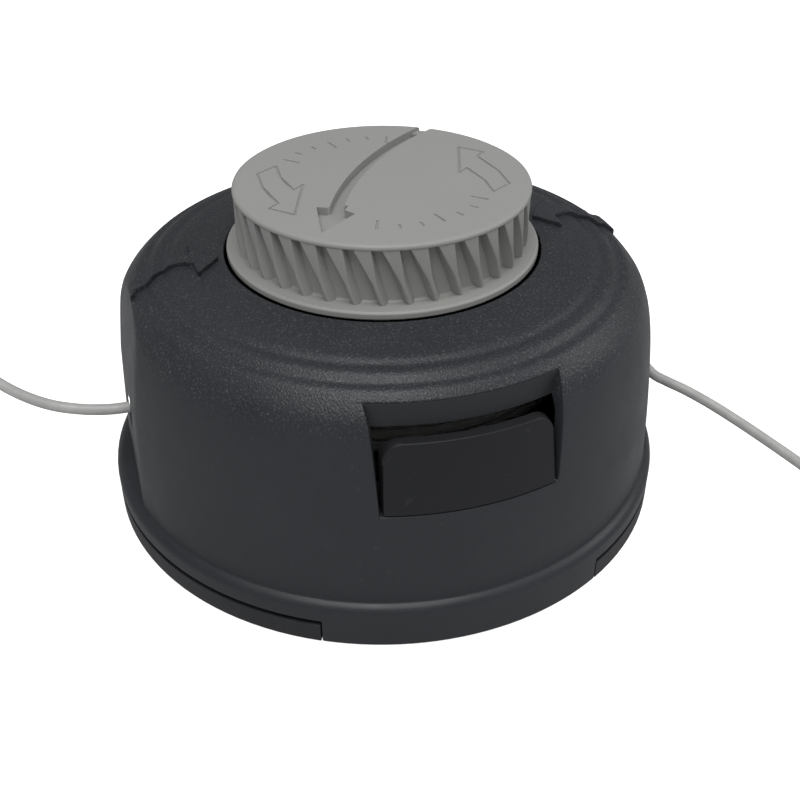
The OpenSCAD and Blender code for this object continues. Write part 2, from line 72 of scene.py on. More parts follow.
def math_node(tree, operation, first, second):
    """Math node fed by sockets or by plain numbers."""
    made = node(tree, "ShaderNodeMath", operation=operation)
    for place, value in enumerate((first, second)):
        if isinstance(value, (int, float)):
            made.inputs[place].default_value = value
        else:
            tree.links.new(value, made.inputs[place])
    return made.outputs[0]


def range_node(tree, value, low, high, to_low, to_high, smooth=False):
    """Map Range node; each end is a socket or a plain number."""
    made = node(tree, "ShaderNodeMapRange")
    if smooth:
        made.interpolation_type = "SMOOTHSTEP"
    tree.links.new(value, made.inputs["Value"])
    for label, end in (("From Min", low), ("From Max", high), ("To Min", to_low), ("To Max", to_high)):
        if isinstance(end, (int, float)):
            made.inputs[label].default_value = end
        else:
            tree.links.new(end, made.inputs[label])
    return made.outputs["Result"]


def noise_node(tree, place, scale, detail, roughness=0.5):
    made = node(tree, "ShaderNodeTexNoise")
    tree.links.new(place, made.inputs["Vector"])
    if isinstance(scale, (int, float)):
        made.inputs["Scale"].default_value = scale
    else:
        tree.links.new(scale, made.inputs["Scale"])
    made.inputs["Detail"].default_value = detail
    made.inputs["Roughness"].default_value = roughness
    return made.outputs["Fac"]


def mix_colours(tree, amount, first, second):
    made = node(tree, "ShaderNodeMix", data_type="RGBA")
    for socket, value in ((made.inputs["Factor"], amount), (made.inputs[6], first), (made.inputs[7], second)):
        if isinstance(value, (int, float, tuple)):
            socket.default_value = value
        else:
            tree.links.new(value, socket)
    return made.outputs[2]


def moulded_skin_group():
    """Skin of a moulding: cloudy colour, fine spark grain in the bump, painted glints (pale flecks in the colour
    that stand in for light sparkling on that grain), uneven gloss and a few hairline scuffs.
    """
    tree, start, end = shader_group(
        "moulded skin",
        [("NodeSocketColor", "Colour", (0.02, 0.02, 0.02, 1)),
         ("NodeSocketColor", "Cloud colour", (0.03, 0.03, 0.03, 1)),
         ("NodeSocketFloat", "Grain per metre", 2600.0),
         ("NodeSocketFloat", "Grain from height", -1.0),
         ("NodeSocketFloat", "Grain to height", -0.9),
         ("NodeSocketFloat", "Least grain", 0.2),
         ("NodeSocketFloat", "Speck", 0.3),
         ("NodeSocketFloat", "Gloss low", 0.38),
         ("NodeSocketFloat", "Gloss high", 0.5),
         ("NodeSocketFloat", "Scuffs", 0.2)],
        [("NodeSocketColor", "Colour"), ("NodeSocketFloat", "Roughness"), ("NodeSocketFloat", "Height")])
    place = node(tree, "ShaderNodeTexCoord").outputs["Object"]
    apart = node(tree, "ShaderNodeSeparateXYZ")
    tree.links.new(place, apart.inputs[0])
    zone = range_node(tree, apart.outputs["Z"], start.outputs["Grain from height"],
                      start.outputs["Grain to height"], start.outputs["Least grain"], 1.0, smooth=True)
    cloud = noise_node(tree, place, 46.0, 4, 0.6)
    fine = noise_node(tree, place, start.outputs["Grain per metre"], 2, 0.6)
    pits = node(tree, "ShaderNodeTexVoronoi", feature="F1")
    tree.links.new(place, pits.inputs["Vector"])
    tree.links.new(start.outputs["Grain per metre"], pits.inputs["Scale"])
    scuff_place = node(tree, "ShaderNodeMapping")
    scuff_place.inputs["Rotation"].default_value = (0.4, 0.3, 0.7)
    scuff_place.inputs["Scale"].default_value = (1, 14, 3)
    tree.links.new(place, scuff_place.inputs["Vector"])
    scuff = noise_node(tree, scuff_place.outputs[0], 120.0, 3, 0.55)
    scuff_mask = range_node(tree, scuff, 0.66, 0.74, 0.0, 1.0)
    scuff_here = math_node(tree, "MULTIPLY", scuff_mask, start.outputs["Scuffs"])
    grain = math_node(tree, "ADD", fine, math_node(tree, "MULTIPLY", pits.outputs["Distance"], 0.5))
    tree.links.new(math_node(tree, "MULTIPLY", grain, zone), end.inputs["Height"])
    # Painted glints: pale flecks put into the colour where the fine noise is high. They are painted sparkle of
    # light on the grain, and their strength is set per material.
    painted_glint = range_node(tree, fine, 0.55, 0.75, 0.0, start.outputs["Speck"])
    painted_glint_here = math_node(tree, "MULTIPLY", painted_glint, zone)
    cloudy = mix_colours(tree, range_node(tree, cloud, 0.35, 0.65, 0.0, 1.0),
                         start.outputs["Colour"], start.outputs["Cloud colour"])
    # The colour is lightened towards pale grey by the painted glints and, more weakly, by the real whitened
    # scuffs.
    glints_and_scuffs = mix_colours(tree, math_node(tree, "MAXIMUM", painted_glint_here, math_node(tree, "MULTIPLY", scuff_here, 0.35)),
                      cloudy, (0.16, 0.165, 0.17, 1))
    tree.links.new(glints_and_scuffs, end.inputs["Colour"])
    gloss = range_node(tree, noise_node(tree, place, 90.0, 3, 0.6), 0.3, 0.7,
                       start.outputs["Gloss low"], start.outputs["Gloss high"])
    tree.links.new(math_node(tree, "ADD", gloss, math_node(tree, "MULTIPLY", scuff_here, 0.25)),
                   end.inputs["Roughness"])
    return tree


moulded_skin = moulded_skin_group()


def moulded_plastic(name, depth=0.00003, specular=0.5, **values):
    """Plastic with the moulded skin. depth is the height of its grain, in metres."""
    material = bpy.data.materials.new(name)
    material.use_nodes = True
    tree = material.node_tree
    shader = tree.nodes["Principled BSDF"]
    shader.inputs["Specular IOR Level"].default_value = specular
    skin = node(tree, "ShaderNodeGroup", node_tree=moulded_skin)
    for key, value in values.items():
        skin.inputs[key.replace("_", " ")].default_value = value
    bump = node(tree, "ShaderNodeBump")
    bump.inputs["Distance"].default_value = depth
    tree.links.new(skin.outputs["Height"], bump.inputs["Height"])
    tree.links.new(bump.outputs["Normal"], shader.inputs["Normal"])
    tree.links.new(skin.outputs["Colour"], shader.inputs["Base Color"])
    tree.links.new(skin.outputs["Roughness"], shader.inputs["Roughness"])
    return material


def settle(piece):
    """Makes what the modifiers give into the piece's own mesh."""
    made = bpy.data.meshes.new_from_object(piece.evaluated_get(bpy.context.evaluated_depsgraph_get()))
    piece.modifiers.clear()
    piece.data = made


def place_mesh(name, mesh, materials):
    piece = bpy.data.objects.new(name, mesh)
    bpy.context.scene.collection.objects.link(piece)
    for material in materials:
        mesh.materials.append(material)
    return piece


def round_edges(piece, width, angle=32, segments=2, above=-1.0):
    """Rounds the edges that a mould rounds, above a height in metres, and shades the rest smooth."""
    bm = bmesh.new()
    bm.from_mesh(piece.data)
    rounded = bm.edges.layers.float.new("bevel_weight_edge")
    for edge in bm.edges:
        if edge.is_manifold and edge.calc_face_angle() > math.radians(angle):
            if min(v.co.z for v in edge.verts) > above:
                edge[rounded] = 1.0
    bm.to_mesh(piece.data)
    bm.free()
    bevel = piece.modifiers.new("mould radius", "BEVEL")
    bevel.width = width
    bevel.segments = segments
    bevel.limit_method = "WEIGHT"
    bevel.use_clamp_overlap = False
    bevel.harden_normals = False
    bevel.miter_outer = "MITER_SHARP"
    settle(piece)
    piece.data.shade_smooth()
    piece.data.set_sharp_from_angle(angle=math.radians(40))
    weigh = piece.modifiers.new("even shading", "WEIGHTED_NORMAL")
    weigh.keep_sharp = True
    settle(piece)


def merged_copy(name, cad_node, materials, flat=1.0):
    """Copy of a CAD solid with its triangles joined into whole faces."""
    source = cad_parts[cad_node].data
    bm = bmesh.new()
    points = [bm.verts.new(v.co) for v in source.vertices]
    for face in source.polygons:
        try:
            bm.faces.new([points[i] for i in face.vertices])
        except ValueError:
            pass
    bmesh.ops.remove_doubles(bm, verts=bm.verts, dist=3e-6)
    bmesh.ops.dissolve_degenerate(bm, edges=bm.edges, dist=3e-6)
    bmesh.ops.dissolve_limit(bm, angle_limit=math.radians(flat), verts=bm.verts, edges=bm.edges)
    mesh = bpy.data.meshes.new(name)
    bm.to_mesh(mesh)
    bm.free()
    return place_mesh(name, mesh, materials)


# A faint amount of painted glints (pale flecks in the colour) is set here.
housing_plastic = moulded_plastic(
    "glass filled nylon", depth=0.00003, Colour=(0.016, 0.017, 0.019, 1), Cloud_colour=(0.021, 0.022, 0.025, 1),
    Least_grain=0.6, Speck=0.05, Gloss_low=0.42, Gloss_high=0.55)
drive_housing = merged_copy("drive_housing_shell", "drive_housing", [housing_plastic])
round_edges(drive_housing, 0.00018)
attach(drive_housing, "housing")
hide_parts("drive_housing")


# Steel and brass parts of the drive
# The turned insert with its hexagon, the snap clip, the washer, the wire spring and the sintered bush
# sit inside the hub. They keep their CAD solids, and get turned, drawn and sintered metal.

def worked_metal_group():
    """Machined metal: fine tool marks round the axis, tarnish clouds and uneven gloss."""
    tree, start, end = shader_group(
        "worked metal",
        [("NodeSocketColor", "Colour", (0.6, 0.6, 0.6, 1)),
         ("NodeSocketColor", "Tarnish", (0.4, 0.4, 0.4, 1)),
         ("NodeSocketFloat", "Marks per metre", 3000.0),
         ("NodeSocketFloat", "Gloss low", 0.2),
         ("NodeSocketFloat", "Gloss high", 0.4)],
        [("NodeSocketColor", "Colour"), ("NodeSocketFloat", "Roughness"), ("NodeSocketFloat", "Height")])
    place = node(tree, "ShaderNodeTexCoord").outputs["Object"]
    lines = node(tree, "ShaderNodeMapping")
    lines.inputs["Scale"].default_value = (0.06, 0.06, 1)
    tree.links.new(place, lines.inputs["Vector"])
    marks = noise_node(tree, lines.outputs[0], start.outputs["Marks per metre"], 2)
    cloud = noise_node(tree, place, 260.0, 4, 0.6)
    tree.links.new(marks, end.inputs["Height"])
    tree.links.new(mix_colours(tree, range_node(tree, cloud, 0.4, 0.7, 0.0, 1.0), start.outputs["Colour"],
                               start.outputs["Tarnish"]), end.inputs["Colour"])
    tree.links.new(range_node(tree, cloud, 0.3, 0.7, start.outputs["Gloss low"], start.outputs["Gloss high"]),
                   end.inputs["Roughness"])
    return tree


worked_metal = worked_metal_group()


def metal(name, depth=0.000008, **values):
    material = bpy.data.materials.new(name)
    material.use_nodes = True
    tree = material.node_tree
    shader = tree.nodes["Principled BSDF"]
    shader.inputs["Metallic"].default_value = 1.0
    skin = node(tree, "ShaderNodeGroup", node_tree=worked_metal)
    for key, value in values.items():
        skin.inputs[key.replace("_", " ")].default_value = value
    bump = node(tree, "ShaderNodeBump")
    bump.inputs["Distance"].default_value = depth
    tree.links.new(skin.outputs["Height"], bump.inputs["Height"])
    tree.links.new(bump.outputs["Normal"], shader.inputs["Normal"])
    tree.links.new(skin.outputs["Colour"], shader.inputs["Base Color"])
    tree.links.new(skin.outputs["Roughness"], shader.inputs["Roughness"])
    return material


def finish_node(cad_node, material):
    """Gives a CAD node that keeps its own solid a better material."""
    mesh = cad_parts[cad_node].data
    mesh.materials.clear()
    mesh.materials.append(material)


zinc_plate = metal("zinc plated steel", Colour=(0.55, 0.55, 0.57, 1), Tarnish=(0.42, 0.41, 0.4, 1))
spring_wire = metal("drawn spring wire", Colour=(0.42, 0.42, 0.44, 1), Tarnish=(0.3, 0.29, 0.28, 1),
                    Gloss_low=0.25, Gloss_high=0.4)
sintered = metal("sintered bronze", depth=0.00002, Colour=(0.55, 0.36, 0.15, 1), Tarnish=(0.38, 0.25, 0.11, 1),
                 Marks_per_metre=6000.0, Gloss_low=0.4, Gloss_high=0.55)
for part in ("drive_insert", "spring_washer", "knob_screws"):
    finish_node(part, zinc_plate)
finish_node("insert_clip", spring_wire)
finish_node("spool_bush", sintered)
spring = place_mesh("compression_spring_wire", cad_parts["compression_spring"].data.copy(), [])
spring.data.materials.clear()
spring.data.materials.append(spring_wire)
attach(spring, "housing")
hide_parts("compression_spring")
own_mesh(spring)


# Acetal parts
# The ratchet ring under the spool and the thrust cap on the spring are moulded in natural acetal,
# which is milky and waxy, and needs no grease.

acetal = moulded_plastic("natural acetal", depth=0.00001, Colour=(0.62, 0.6, 0.53, 1),
                         Cloud_colour=(0.56, 0.54, 0.47, 1), Speck=0.0, Gloss_low=0.3, Gloss_high=0.4)
finish_node("thrust_cap", acetal)
finish_node("index_ring", acetal)


# Spool
# Black drum with flanges and the hub that is welded on it. It is only seen through the windows and
# from below, and keeps its CAD solids.

# A faint amount of painted glints (pale flecks in the colour) is set here.
spool_plastic = moulded_plastic("spool plastic", Colour=(0.012, 0.012, 0.013, 1),
                                Cloud_colour=(0.016, 0.016, 0.018, 1), Speck=0.05)
finish_node("spool", spool_plastic)
finish_node("spool_hub", spool_plastic)


# Cutting line
# Round extruded nylon, 2.4 mm thick, slightly cloudy and grey. Two coils of it are wound on the spool,
# and one end leaves through each eyelet. It is stiff, and each end is cut off square.

def nylon_material():
    material = bpy.data.materials.new("cutting line nylon")
    material.use_nodes = True
    tree = material.node_tree
    shader = tree.nodes["Principled BSDF"]
    place = node(tree, "ShaderNodeTexCoord").outputs["Object"]
    cloud = noise_node(tree, place, 300.0, 3, 0.6)
    colour = mix_colours(tree, range_node(tree, cloud, 0.35, 0.65, 0.0, 1.0),
                         (0.47, 0.475, 0.46, 1), (0.4, 0.405, 0.395, 1))
    tree.links.new(colour, shader.inputs["Base Color"])
    tree.links.new(range_node(tree, cloud, 0.3, 0.7, 0.34, 0.46), shader.inputs["Roughness"])
    shader.inputs["Subsurface Weight"].default_value = 0.25
    shader.inputs["Subsurface Radius"].default_value = (0.0012, 0.0012, 0.0011)
    bump = node(tree, "ShaderNodeBump")
    bump.inputs["Distance"].default_value = 0.00001
    tree.links.new(noise_node(tree, place, 1800.0, 2), bump.inputs["Height"])
    tree.links.new(bump.outputs["Normal"], shader.inputs["Normal"])
    return material


line_nylon = nylon_material()
line_width = 0.0024
routes = {
    "line_left": [(-45.9, 0.6, 25), (-49, 0.3, 25), (-53, 0, 25), (-57.5, 0, 25), (-61.4, 0.2, 25.1),
                  (-65.6, 1.1, 25.3), (-69.5, 2.3, 25.7), (-73.3, 4, 26.2), (-77.5, 6.8, 27), (-81.7, 10.6, 28),
                  (-85.3, 15, 29), (-88.2, 20, 30)],
    "line_right": [(45.9, 0.6, 25), (49, 0.2, 25), (53, 0, 25), (57.2, -0.5, 24.6), (60.2, -3, 22.6),
                   (61.8, -7, 19.6), (63.3, -11.6, 17.3), (65.5, -14.6, 16.5), (68.2, -18, 15.9),
                   (70.7, -21.7, 15.2), (72.7, -25.1, 14.6), (76, -31.2, 13.4), (79, -37.2, 12.2),
                   (82, -43.8, 11), (84.6, -50.2, 9.9)],
}


def smooth_route(points, per_span=8):
    """Catmull-Rom curve through the points, as a dense array in metres."""
    p = np.array(points, float) / 1000
    p = np.vstack([2 * p[0] - p[1], p, 2 * p[-1] - p[-2]])
    found = []
    for i in range(1, len(p) - 2):
        for t in np.linspace(0, 1, per_span, endpoint=False):
            a, b, c, d = p[i - 1], p[i], p[i + 1], p[i + 2]
            found.append(0.5 * (2 * b + (c - a) * t + (2 * a - 5 * b + 4 * c - d) * t * t
                                + (3 * b - a - 3 * c + d) * t ** 3))
    found.append(p[-2])
    return np.array(found)


def line_tube(name, route, radius, sides=20):
    """Round tube along a route, with a small chamfer where each end is cut."""
    way = np.gradient(route, axis=0)
    way /= np.linalg.norm(way, axis=1)[:, None]
    side = np.cross(way[0], (0, 0, 1.0))
    stations = [(0, 0.86, 0.0), (0, 1, 0.12)] + [(i, 1, 0) for i in range(1, len(route) - 1)]
    stations += [(len(route) - 1, 1, -0.12), (len(route) - 1, 0.86, 0.0)]
    rings = []
    for i, size, shift in stations:
        side = side - way[i] * (side @ way[i])
        side /= np.linalg.norm(side)
        up = np.cross(way[i], side)
        angles = np.linspace(0, 2 * math.pi, sides, endpoint=False)
        rings.append(route[i] + way[i] * shift * radius + radius * size
                     * (np.outer(np.cos(angles), side) + np.outer(np.sin(angles), up)))
    points = np.vstack(rings)
    count = len(rings)
    faces = [(i * sides + k, i * sides + (k + 1) % sides, (i + 1) * sides + (k + 1) % sides, (i + 1) * sides + k)
             for i in range(count - 1) for k in range(sides)]
    faces.append(tuple(range(sides))[::-1])
    faces.append(tuple((count - 1) * sides + k for k in range(sides)))
    mesh = bpy.data.meshes.new(name)
    mesh.from_pydata(points.tolist(), [], faces)
    bm = bmesh.new()
    bm.from_mesh(mesh)
    bmesh.ops.recalc_face_normals(bm, faces=bm.faces)
    bm.to_mesh(mesh)
    bm.free()
    mesh.shade_smooth()
    mesh.set_sharp_from_angle(angle=math.radians(50))
    return place_mesh(name, mesh, [line_nylon])


for name, points in routes.items():
    route = smooth_route(points)
    free_line = line_tube(name + "_nylon", route, line_width / 2)
    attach(free_line, "housing")
    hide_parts(name)
finish_node("wound_line_lower", line_nylon)
finish_node("wound_line_upper", line_nylon)


# Eyelets
# Pressed-in bushes of turned aluminium that keep the running line from cutting into the cover.

eyelet_metal = metal("turned aluminium", Colour=(0.72, 0.73, 0.74, 1), Tarnish=(0.6, 0.6, 0.6, 1),
                     Gloss_low=0.22, Gloss_high=0.32)
finish_node("eyelet_left", eyelet_metal)
finish_node("eyelet_right", eyelet_metal)


# Latch tabs
# Two spring tongues moulded in black nylon. Pressing both lets the cover go. The thumb face is
# smooth, with rounded upper corners, and a rounded top edge that catches the light.

latch_plastic = moulded_plastic("latch nylon", depth=0.00001, specular=0.35, Colour=(0.014, 0.0145, 0.0165, 1),
                                Cloud_colour=(0.016, 0.0165, 0.019, 1), Least_grain=0.3, Speck=0.0,
                                Gloss_low=0.45, Gloss_high=0.55)
tongue_low = 0.0315
for end, body in (("front", "front_latch"), ("back", "back_latch")):
    latch = merged_copy("latch_" + end + "_tongue", "latch_tab_" + end, [latch_plastic])
    round_edges(latch, 0.0003, above=tongue_low)
    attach(latch, body)
    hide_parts("latch_tab_" + end)


# Bell cover
# Glass-filled nylon moulding with a spark-eroded shoulder: two soft grooves run round it, a raised
# arrow lies on each side, the wall has two flats where the line leaves, and a window for each latch.

bell_knots = [(33.4, 56), (37, 55.75), (41, 55.3), (43.5, 55.15), (44.4, 55), (45.2, 54.55), (45.9, 54.15),
              (46.6, 54.3), (47.4, 54.4), (48.4, 54.1), (49.2, 53.4), (49.9, 52.9), (50.6, 52.9), (51.3, 52.75),
              (52, 52.3), (52.8, 51.6), (54.4, 50), (55.5, 48.5), (56.4, 46.4), (57.2, 44), (58.1, 39),
              (59, 30), (59.7, 21), (60.2, 9.8)]
skirt_knots = [(60.2, 9.8), (60.7, 9.6), (61.4, 9.1), (62, 8.3), (62, 7.2), (62, 6.4)]
inner_knots = [(33.4, 53.2), (44, 52.4), (49.6, 50.2), (52.4, 47.2), (53.2, 46.2)]
inner_wall = [(0, 59.4), (7.9, 59.4), (8, 57.7), (21, 57.2), (39, 55.6), (44, 54.7), (46.2, 53.2)]
flat_at = [(9.8, 58.1), (32, 56.8), (44, 55.1), (50.5, 53.5), (56, 53.5)]
wall_foot = 9.8
wall_foot_r = 60.2
window_sill = 30.0
window_head = 46.2
window_half = 17.6
window_flare = 21.5
lintel_face = 53.2
notch_head = 5.3
notch_angle = 62.0


def cut_corners(points, rounds):
    """Chaikin's corner cutting: rounds a profile and keeps its ends."""
    p = np.array(points, float)
    for _ in range(rounds):
        a = p[:-1] * 0.75 + p[1:] * 0.25
        b = p[:-1] * 0.25 + p[1:] * 0.75
        p = np.vstack([p[:1], np.stack([a, b], 1).reshape(-1, 2)[1:-1], p[-1:]])
    return p


def run_lengths(points):
    return np.concatenate([[0], np.cumsum(np.linalg.norm(np.diff(points, axis=0), axis=1))])


def table_value(table, at):
    xs, ys = zip(*table)
    return float(np.interp(at, xs, ys))


bell_curve = cut_corners(bell_knots, 3)


def bell_rows():
    """Rows of the cover's outer profile: radius, height, and which part each belongs to."""
    lengths = run_lengths(bell_curve)
    head = float(np.interp(lintel_face, bell_curve[:, 0], lengths))
    level = -bell_curve[:, 1]
    stops = [0, head] + [float(np.interp(-z, level, lengths)) for z in (window_head, window_sill, wall_foot)]
    rows = []
    for part, (count, low, high) in enumerate(zip((48, 12, 12, 14), stops[:-1], stops[1:])):
        for s in np.linspace(low, high, count, endpoint=False):
            rows.append((np.interp(s, lengths, bell_curve[:, 0]), np.interp(s, lengths, bell_curve[:, 1]), part))
    rows.append((wall_foot_r, wall_foot, 3))
    for r, z in cut_corners(skirt_knots, 2):
        rows.append((r, z, 4))
    for z in (notch_head, 3.6, 1.8, 0):
        rows.append((62.0, z, 5))
    return rows


def inner_point(r, z, part, share):
    """Place on the inside of the wall that lies behind a row of the outside."""
    if part <= 1:
        lengths = run_lengths(np.array(inner_knots))
        s = share * lengths[-1]
        return (float(np.interp(s, lengths, [p[0] for p in inner_knots])),
                float(np.interp(s, lengths, [p[1] for p in inner_knots])))
    if part == 2:
        return table_value(inner_wall, z), z
    if part == 3:
        low = 8.0 + (z - wall_foot) * (window_sill - 8.0) / (window_sill - wall_foot)
        return table_value(inner_wall, max(low, 8.0)), low
    if part == 4:
        if z > 8.3:
            return 57.7 + (r - 60.2) / 1.8 * 1.7, 8.0
        return 59.4, z - 0.3 * (z - 6.4) / 1.9
    return 59.4, z


def soft_least(a, b, reach):
    """The lesser of two numbers, blended where they are close."""
    h = max(reach - abs(a - b), 0) / reach
    return min(a, b) - h * h * reach / 4


def bell_shell():
    """Mesh of the cover: a grid on its outside, a grid on its inside, and walls round each opening."""
    rows = bell_rows()
    top_end = next(i for i, row in enumerate(rows) if row[2] == 2)
    flat_share = [0, 0.25, 0.5, 0.72, 0.86, 0.93, 0.97, 1]
    wall_share = [0.006, 0.013, 0.03] + list(np.linspace(0.06, 1, 34))
    window_share = list(np.linspace(0, 1, 13))[1:]
    zones = ["flat"] * len(flat_share[1:]) + ["wall"] * len(wall_share) + ["window"] * len(window_share)
    quarter = len(zones)
    outer = []
    inner = []
    for i, (r, z, part) in enumerate(rows):
        flat_x = table_value(flat_at, z)
        if z > 50.9 or r <= flat_x:
            flat_edge = 2.0 + 12 * min(1, max(0, (53.5 - r) / 12)) if z > 40 else 15.2
        else:
            flat_edge = max(2.0, math.degrees(math.acos(flat_x / r)))
        if part >= 4:
            flat_edge = 15.2
        if part == 0:
            window_edge = math.degrees(math.acos(18.59 / lintel_face))
        elif part in (1, 2):
            window_edge = math.degrees(math.acos((window_half + (z - window_sill) / window_flare) / r))
        else:
            edge = math.degrees(math.acos(window_half / 59))
            window_edge = edge + (notch_angle - edge) * min(1, (window_sill - z) / (window_sill - 9))
        angles = [flat_edge * t for t in flat_share]
        angles += [flat_edge + (window_edge - flat_edge) * t for t in wall_share]
        angles += [window_edge + (90 - window_edge) * t for t in window_share]
        ring = angles + [180 - a for a in angles[-2::-1]]
        ring += [180 + a for a in angles[1:]] + [360 - a for a in angles[-2:0:-1]]
        share = i / top_end
        in_r, in_z = inner_point(r, z, part, share)
        for store, radius, height, limit in ((outer, r, z, flat_x), (inner, in_r, in_z, flat_x - 3)):
            line = []
            for a in ring:
                x = radius * math.cos(math.radians(a))
                y = radius * math.sin(math.radians(a))
                if part < 4 or (store is inner and height > 7.99):
                    reach = 0.5 if store is outer else 0.01
                    x = math.copysign(soft_least(abs(x), limit, reach), x)
                line.append((x, y, height))
            store.append(line)
    # Faces of the outside and of the inside, without the windows and the notches
    columns = 4 * quarter
    kept = {}
    for i in range(len(rows) - 1):
        for j in range(columns):
            turn = j // quarter
            place = j % quarter if turn % 2 == 0 else quarter - 1 - j % quarter
            zone = zones[place]
            if zone == "window" and rows[i][2] in (1, 2):
                continue
            if zone != "window" and rows[i][2] == 5:
                continue
            kept[(i, j)] = True
    bm = bmesh.new()
    corner = {}

    def vertex(side, i, j):
        key = (side, i, j % columns)
        if key not in corner:
            corner[key] = bm.verts.new(Vector((outer if side == 0 else inner)[i][j % columns]) / 1000)
        return corner[key]

    for (i, j) in kept:
        bm.faces.new([vertex(0, i, j), vertex(0, i + 1, j), vertex(0, i + 1, j + 1), vertex(0, i, j + 1)])
        bm.faces.new([vertex(1, i, j + 1), vertex(1, i + 1, j + 1), vertex(1, i + 1, j), vertex(1, i, j)])
    for (i, j) in kept:
        for (a, b), beside in ((((i, j), (i, j + 1)), (i - 1, j)), (((i + 1, j), (i + 1, j + 1)), (i + 1, j)),
                               (((i, j), (i + 1, j)), (i, (j - 1) % columns)),
                               (((i, j + 1), (i + 1, j + 1)), (i, (j + 1) % columns))):
            if beside not in kept:
                bm.faces.new([vertex(0, *a), vertex(0, *b), vertex(1, *b), vertex(1, *a)])
    bmesh.ops.remove_doubles(bm, verts=bm.verts, dist=2e-6)
    bmesh.ops.dissolve_degenerate(bm, edges=bm.edges, dist=2e-6)
    bmesh.ops.recalc_face_normals(bm, faces=bm.faces)
    # One whole face round each eyelet, so that its seat is cut cleanly
    for side in (-1, 1):
        for low, high in ((0.0565, 0.06), (0.053, 0.0552)):
            patch = [f for f in bm.faces
                     if low < side * f.calc_center_median().x < high and abs(f.calc_center_median().y) < 0.0075
                     and 0.0175 < f.calc_center_median().z < 0.0315 and abs(f.normal.x) > 0.97]
            if patch:
                bmesh.ops.dissolve_faces(bm, faces=patch)
    mesh = bpy.data.meshes.new("bell_cover_shell")
    bm.to_mesh(mesh)
    bm.free()
    return mesh


def add_cylinder(bm, radius, depth, place, turn, sides=48):
    bmesh.ops.create_cone(bm, cap_ends=True, segments=sides, radius1=radius, radius2=radius, depth=depth,
                          matrix=Matrix.Translation(place) @ turn)


def cut_out(piece, cutter):
    """Takes the cutter's volume out of the piece, and removes the cutter."""
    cut = piece.modifiers.new("cut", "BOOLEAN")
    cut.operation = "DIFFERENCE"
    cut.solver = "EXACT"
    cut.object = cutter
    settle(piece)
    bpy.data.objects.remove(cutter)


# The cover's shoulder gets strong painted glints: pale flecks in its colour that stand in for light sparkling on
# the spark-eroded grain.
cover_plastic = moulded_plastic(
    "cover nylon", depth=0.00009, specular=0.42, Colour=(0.0235, 0.0265, 0.031, 1), Cloud_colour=(0.028, 0.031, 0.036, 1),
    Grain_per_metre=2300.0, Grain_from_height=0.044, Grain_to_height=0.049, Least_grain=0.12, Speck=0.45,
    Gloss_low=0.36, Gloss_high=0.46)
smooth_cover_plastic = moulded_plastic(
    "cover nylon in the recess", depth=0.00001, specular=0.3, Colour=(0.03, 0.032, 0.036, 1),
    Cloud_colour=(0.034, 0.036, 0.04, 1), Speck=0.0, Gloss_low=0.42, Gloss_high=0.52)
eyelet_z = 0.025
flange_seat_r = 0.0047
shank_seat_r = 0.00325
bell_cover = place_mesh("bell_cover_shell", bell_shell(), [cover_plastic, smooth_cover_plastic])
seats = bmesh.new()
for side in (-1, 1):
    add_cylinder(seats, flange_seat_r, 0.006, (side * 0.0591, 0, eyelet_z), Matrix.Rotation(math.pi / 2, 4, "Y"))
    add_cylinder(seats, shank_seat_r, 0.02, (side * 0.052, 0, eyelet_z), Matrix.Rotation(math.pi / 2, 4, "Y"))
seat_mesh = bpy.data.meshes.new("eyelet seats")
seats.to_mesh(seat_mesh)
seats.free()
cut_out(bell_cover, place_mesh("eyelet seats", seat_mesh, []))
round_edges(bell_cover, 0.00028, angle=38)


def lintel(turn):
    """Curved bar above a latch window, which closes the recess in the shoulder."""
    bm = bmesh.new()
    reach = math.radians(21.2)
    outline = [(53.18, 46.2), (53.18, 51.1), (50.7, 51.1), (50.7, 46.2)]
    rings = []
    for a in np.linspace(-reach, reach, 25):
        way = math.radians(turn) + a
        rings.append([bm.verts.new((r * math.cos(way) / 1000, r * math.sin(way) / 1000, z / 1000))
                      for r, z in outline])
    for one, two in zip(rings[:-1], rings[1:]):
        for k in range(4):
            bm.faces.new([one[k], one[(k + 1) % 4], two[(k + 1) % 4], two[k]])
    bm.faces.new(rings[0][::-1])
    bm.faces.new(rings[-1])
    bmesh.ops.recalc_face_normals(bm, faces=bm.faces)
    mesh = bpy.data.meshes.new("lintel")
    bm.to_mesh(mesh)
    bm.free()
    return mesh


def bell_height(r):
    """Height of the cover's outside at a radius, in millimetres."""
    return float(np.interp(r, bell_curve[:, 0], bell_curve[:, 1]))


arrow_outline = [(-34.6, 1.7), (-39.6, -3.4), (-39.8, 1.6), (-42.8, 2.9), (-45.9, 2.6), (-48.7, 0.1),
                 (-51.1, -0.6), (-53.4, -1.4), (-53.4, 3.3), (-51, 4.2), (-48.7, 5), (-46, 7.2), (-43, 7.4),
                 (-39.8, 6.4), (-40, 9.9)]


